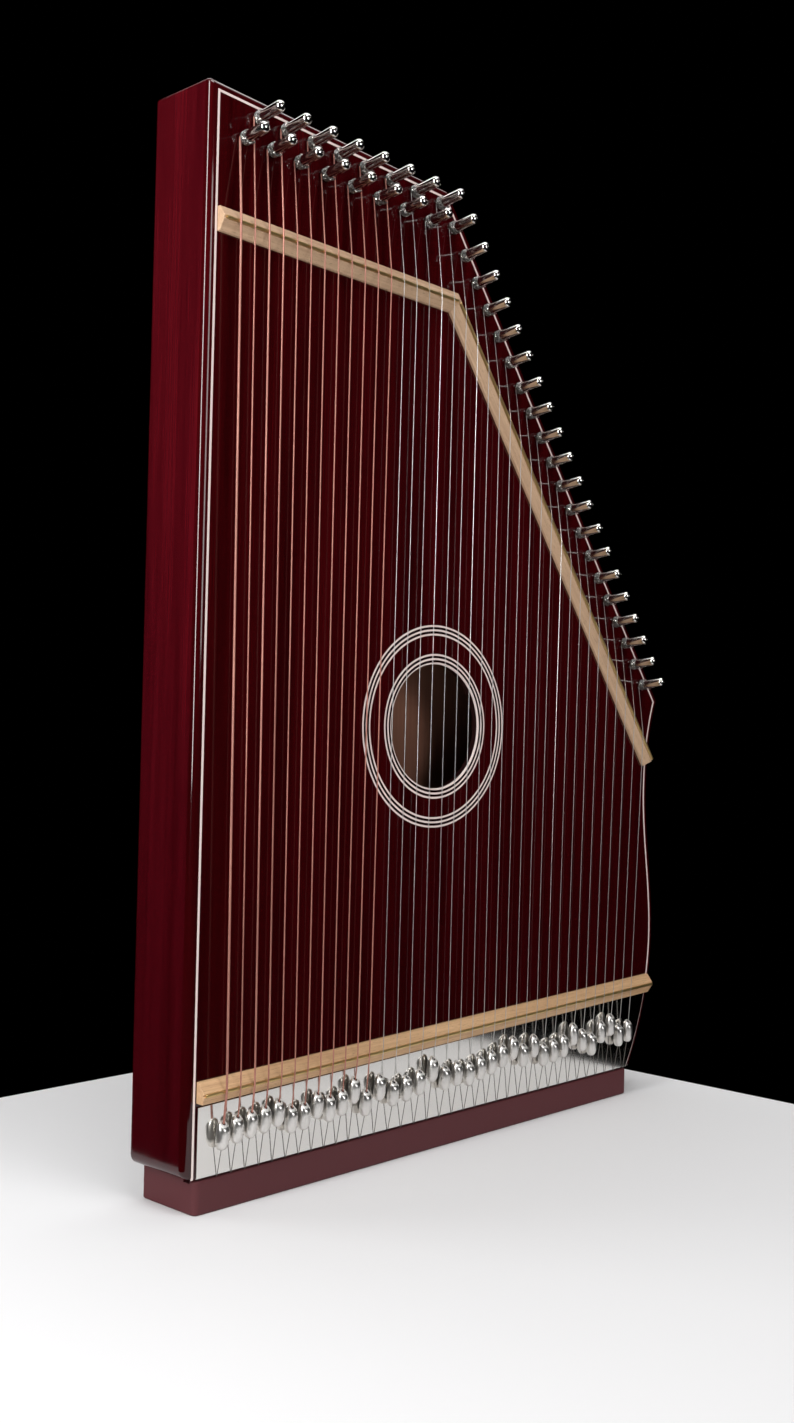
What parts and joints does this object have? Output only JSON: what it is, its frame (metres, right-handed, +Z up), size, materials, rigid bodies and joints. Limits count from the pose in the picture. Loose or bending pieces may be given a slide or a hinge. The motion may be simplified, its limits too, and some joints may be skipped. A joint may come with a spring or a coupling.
{
  "type": "swarmandal",
  "caption": "Plucked zither with a shallow curved-side wooden box, round soundhole, three bridges, rows of tuning pins, wound and plain strings with tuning beads, and a foot rail.",
  "frame": {"origin": "centre of the foot rail's flat underside", "axes": "+Z up along the strings, +X right along the soundboard, +Y back through the box, so the soundboard faces -Y"},
  "size_m": [0.4775, 0.0796, 0.682],
  "materials": {
    "crimson_lacquer": "gloss crimson lacquer",
    "dark_lacquer": "mirror-gloss dark maroon lacquer",
    "rail_lacquer": "satin maroon lacquer",
    "bare_spruce": "bare planed spruce",
    "bare_beech": "bare planed beech",
    "bridge_maple": "satin maple",
    "crest_brass": "drawn brass rod",
    "white_inlay": "white celluloid under lacquer",
    "mirror_steel": "mirror-polished steel",
    "nickelled_pin": "nickel-plated steel",
    "wound_bronze": "fine bronze winding",
    "steel_wire": "drawn music wire"
  },
  "bodies": {
    "instrument": {"soundboard": "dark_lacquer", "back_board": "crimson_lacquer", "left_side": "crimson_lacquer", "top_side": "crimson_lacquer", "slope_side": "crimson_lacquer", "right_side": "crimson_lacquer", "tail_block": "bare_beech", "top_pin_block": "bare_beech", "slope_pin_block": "bare_beech", "upper_brace": "bare_spruce", "lower_brace": "bare_spruce", "foot_rail": "rail_lacquer", "tail_plate": "mirror_steel", "top_bridge": "bridge_maple", "slope_bridge": "bridge_maple", "bottom_bridge": "bridge_maple", "top_bridge_rod": "crest_brass", "slope_bridge_rod": "crest_brass", "bottom_bridge_rod": "crest_brass", "rosette_inner": "white_inlay", "rosette_outer": "white_inlay", "purfling": "white_inlay", "bronze_strings": "wound_bronze", "steel_strings": "steel_wire"},
    "pin_01": {"tuning_pin_01": "nickelled_pin"},
    "pin_02": {"tuning_pin_02": "nickelled_pin"},
    "pin_03": {"tuning_pin_03": "nickelled_pin"},
    "pin_04": {"tuning_pin_04": "nickelled_pin"},
    "pin_05": {"tuning_pin_05": "nickelled_pin"},
    "pin_06": {"tuning_pin_06": "nickelled_pin"},
    "pin_07": {"tuning_pin_07": "nickelled_pin"},
    "pin_08": {"tuning_pin_08": "nickelled_pin"},
    "pin_09": {"tuning_pin_09": "nickelled_pin"},
    "pin_10": {"tuning_pin_10": "nickelled_pin"},
    "pin_11": {"tuning_pin_11": "nickelled_pin"},
    "pin_12": {"tuning_pin_12": "nickelled_pin"},
    "pin_13": {"tuning_pin_13": "nickelled_pin"},
    "pin_14": {"tuning_pin_14": "nickelled_pin"},
    "pin_15": {"tuning_pin_15": "nickelled_pin"},
    "pin_16": {"tuning_pin_16": "nickelled_pin"},
    "pin_17": {"tuning_pin_17": "nickelled_pin"},
    "pin_18": {"tuning_pin_18": "nickelled_pin"},
    "pin_19": {"tuning_pin_19": "nickelled_pin"},
    "pin_20": {"tuning_pin_20": "nickelled_pin"},
    "pin_21": {"tuning_pin_21": "nickelled_pin"},
    "pin_22": {"tuning_pin_22": "nickelled_pin"},
    "pin_23": {"tuning_pin_23": "nickelled_pin"},
    "pin_24": {"tuning_pin_24": "nickelled_pin"},
    "pin_25": {"tuning_pin_25": "nickelled_pin"},
    "pin_26": {"tuning_pin_26": "nickelled_pin"},
    "pin_27": {"tuning_pin_27": "nickelled_pin"},
    "pin_28": {"tuning_pin_28": "nickelled_pin"},
    "pin_29": {"tuning_pin_29": "nickelled_pin"},
    "pin_30": {"tuning_pin_30": "nickelled_pin"},
    "pin_31": {"tuning_pin_31": "nickelled_pin"},
    "pin_32": {"tuning_pin_32": "nickelled_pin"},
    "pin_33": {"tuning_pin_33": "nickelled_pin"},
    "pin_34": {"tuning_pin_34": "nickelled_pin"},
    "pin_35": {"tuning_pin_35": "nickelled_pin"},
    "pin_36": {"tuning_pin_36": "nickelled_pin"}
  },
  "joints": [
    {"name": "pin_01_turn", "type": "hinge", "parent": "instrument", "child": "pin_01", "pos_m": [-0.19895, -0.0257, 0.65142], "axis": [0, 0.9928, -0.1201], "range_deg": [-360, 60]},
    {"name": "pin_02_turn", "type": "hinge", "parent": "instrument", "child": "pin_02", "pos_m": [-0.18855, -0.0257, 0.66726], "axis": [0, 0.9928, -0.1201], "range_deg": [-360, 60]},
    {"name": "pin_03_turn", "type": "hinge", "parent": "instrument", "child": "pin_03", "pos_m": [-0.17756, -0.0257, 0.65068], "axis": [0, 0.9928, -0.1201], "range_deg": [-360, 60]},
    {"name": "pin_04_turn", "type": "hinge", "parent": "instrument", "child": "pin_04", "pos_m": [-0.16716, -0.0257, 0.66653], "axis": [0, 0.9928, -0.1201], "range_deg": [-360, 60]},
    {"name": "pin_05_turn", "type": "hinge", "parent": "instrument", "child": "pin_05", "pos_m": [-0.15559, -0.0257, 0.64993], "axis": [0, 0.9928, -0.1201], "range_deg": [-360, 60]},
    {"name": "pin_06_turn", "type": "hinge", "parent": "instrument", "child": "pin_06", "pos_m": [-0.14519, -0.0257, 0.66577], "axis": [0, 0.9928, -0.1201], "range_deg": [-360, 60]},
    {"name": "pin_07_turn", "type": "hinge", "parent": "instrument", "child": "pin_07", "pos_m": [-0.13304, -0.0257, 0.64915], "axis": [0, 0.9928, -0.1201], "range_deg": [-360, 60]},
    {"name": "pin_08_turn", "type": "hinge", "parent": "instrument", "child": "pin_08", "pos_m": [-0.12264, -0.0257, 0.66499], "axis": [0, 0.9928, -0.1201], "range_deg": [-360, 60]},
    {"name": "pin_09_turn", "type": "hinge", "parent": "instrument", "child": "pin_09", "pos_m": [-0.10991, -0.0257, 0.64835], "axis": [0, 0.9928, -0.1201], "range_deg": [-360, 60]},
    {"name": "pin_10_turn", "type": "hinge", "parent": "instrument", "child": "pin_10", "pos_m": [-0.09951, -0.0257, 0.6642], "axis": [0, 0.9928, -0.1201], "range_deg": [-360, 60]},
    {"name": "pin_11_turn", "type": "hinge", "parent": "instrument", "child": "pin_11", "pos_m": [-0.0862, -0.0257, 0.64754], "axis": [0, 0.9928, -0.1201], "range_deg": [-360, 60]},
    {"name": "pin_12_turn", "type": "hinge", "parent": "instrument", "child": "pin_12", "pos_m": [-0.0758, -0.0257, 0.66338], "axis": [0, 0.9928, -0.1201], "range_deg": [-360, 60]},
    {"name": "pin_13_turn", "type": "hinge", "parent": "instrument", "child": "pin_13", "pos_m": [-0.06191, -0.0257, 0.6467], "axis": [0, 0.9928, -0.1201], "range_deg": [-360, 60]},
    {"name": "pin_14_turn", "type": "hinge", "parent": "instrument", "child": "pin_14", "pos_m": [-0.05151, -0.0257, 0.66254], "axis": [0, 0.9928, -0.1201], "range_deg": [-360, 60]},
    {"name": "pin_15_turn", "type": "hinge", "parent": "instrument", "child": "pin_15", "pos_m": [-0.03704, -0.0257, 0.64584], "axis": [0, 0.9928, -0.1201], "range_deg": [-360, 60]},
    {"name": "pin_16_turn", "type": "hinge", "parent": "instrument", "child": "pin_16", "pos_m": [-0.02664, -0.0257, 0.66169], "axis": [0, 0.9928, -0.1201], "range_deg": [-360, 60]},
    {"name": "pin_17_turn", "type": "hinge", "parent": "instrument", "child": "pin_17", "pos_m": [-0.01285, -0.0257, 0.64812], "axis": [0, 0.9928, -0.1201], "range_deg": [-360, 60]},
    {"name": "pin_18_turn", "type": "hinge", "parent": "instrument", "child": "pin_18", "pos_m": [-0.00028, -0.0257, 0.63161], "axis": [0, 0.9928, -0.1201], "range_deg": [-360, 60]},
    {"name": "pin_19_turn", "type": "hinge", "parent": "instrument", "child": "pin_19", "pos_m": [0.01229, -0.0257, 0.61511], "axis": [0, 0.9928, -0.1201], "range_deg": [-360, 60]},
    {"name": "pin_20_turn", "type": "hinge", "parent": "instrument", "child": "pin_20", "pos_m": [0.02486, -0.0257, 0.59861], "axis": [0, 0.9928, -0.1201], "range_deg": [-360, 60]},
    {"name": "pin_21_turn", "type": "hinge", "parent": "instrument", "child": "pin_21", "pos_m": [0.03743, -0.0257, 0.5821], "axis": [0, 0.9928, -0.1201], "range_deg": [-360, 60]},
    {"name": "pin_22_turn", "type": "hinge", "parent": "instrument", "child": "pin_22", "pos_m": [0.05, -0.0257, 0.5656], "axis": [0, 0.9928, -0.1201], "range_deg": [-360, 60]},
    {"name": "pin_23_turn", "type": "hinge", "parent": "instrument", "child": "pin_23", "pos_m": [0.06257, -0.0257, 0.54909], "axis": [0, 0.9928, -0.1201], "range_deg": [-360, 60]},
    {"name": "pin_24_turn", "type": "hinge", "parent": "instrument", "child": "pin_24", "pos_m": [0.07514, -0.0257, 0.53259], "axis": [0, 0.9928, -0.1201], "range_deg": [-360, 60]},
    {"name": "pin_25_turn", "type": "hinge", "parent": "instrument", "child": "pin_25", "pos_m": [0.08771, -0.0257, 0.51609], "axis": [0, 0.9928, -0.1201], "range_deg": [-360, 60]},
    {"name": "pin_26_turn", "type": "hinge", "parent": "instrument", "child": "pin_26", "pos_m": [0.10028, -0.0257, 0.49958], "axis": [0, 0.9928, -0.1201], "range_deg": [-360, 60]},
    {"name": "pin_27_turn", "type": "hinge", "parent": "instrument", "child": "pin_27", "pos_m": [0.11285, -0.0257, 0.48308], "axis": [0, 0.9928, -0.1201], "range_deg": [-360, 60]},
    {"name": "pin_28_turn", "type": "hinge", "parent": "instrument", "child": "pin_28", "pos_m": [0.12542, -0.0257, 0.46657], "axis": [0, 0.9928, -0.1201], "range_deg": [-360, 60]},
    {"name": "pin_29_turn", "type": "hinge", "parent": "instrument", "child": "pin_29", "pos_m": [0.13799, -0.0257, 0.45007], "axis": [0, 0.9928, -0.1201], "range_deg": [-360, 60]},
    {"name": "pin_30_turn", "type": "hinge", "parent": "instrument", "child": "pin_30", "pos_m": [0.15056, -0.0257, 0.43357], "axis": [0, 0.9928, -0.1201], "range_deg": [-360, 60]},
    {"name": "pin_31_turn", "type": "hinge", "parent": "instrument", "child": "pin_31", "pos_m": [0.16313, -0.0257, 0.41706], "axis": [0, 0.9928, -0.1201], "range_deg": [-360, 60]},
    {"name": "pin_32_turn", "type": "hinge", "parent": "instrument", "child": "pin_32", "pos_m": [0.1757, -0.0257, 0.40056], "axis": [0, 0.9928, -0.1201], "range_deg": [-360, 60]},
    {"name": "pin_33_turn", "type": "hinge", "parent": "instrument", "child": "pin_33", "pos_m": [0.18827, -0.0257, 0.38405], "axis": [0, 0.9928, -0.1201], "range_deg": [-360, 60]},
    {"name": "pin_34_turn", "type": "hinge", "parent": "instrument", "child": "pin_34", "pos_m": [0.20084, -0.0257, 0.36755], "axis": [0, 0.9928, -0.1201], "range_deg": [-360, 60]},
    {"name": "pin_35_turn", "type": "hinge", "parent": "instrument", "child": "pin_35", "pos_m": [0.21341, -0.0257, 0.35104], "axis": [0, 0.9928, -0.1201], "range_deg": [-360, 60]},
    {"name": "pin_36_turn", "type": "hinge", "parent": "instrument", "child": "pin_36", "pos_m": [0.22598, -0.0257, 0.33454], "axis": [0, 0.9928, -0.1201], "range_deg": [-360, 60]}
  ]
}
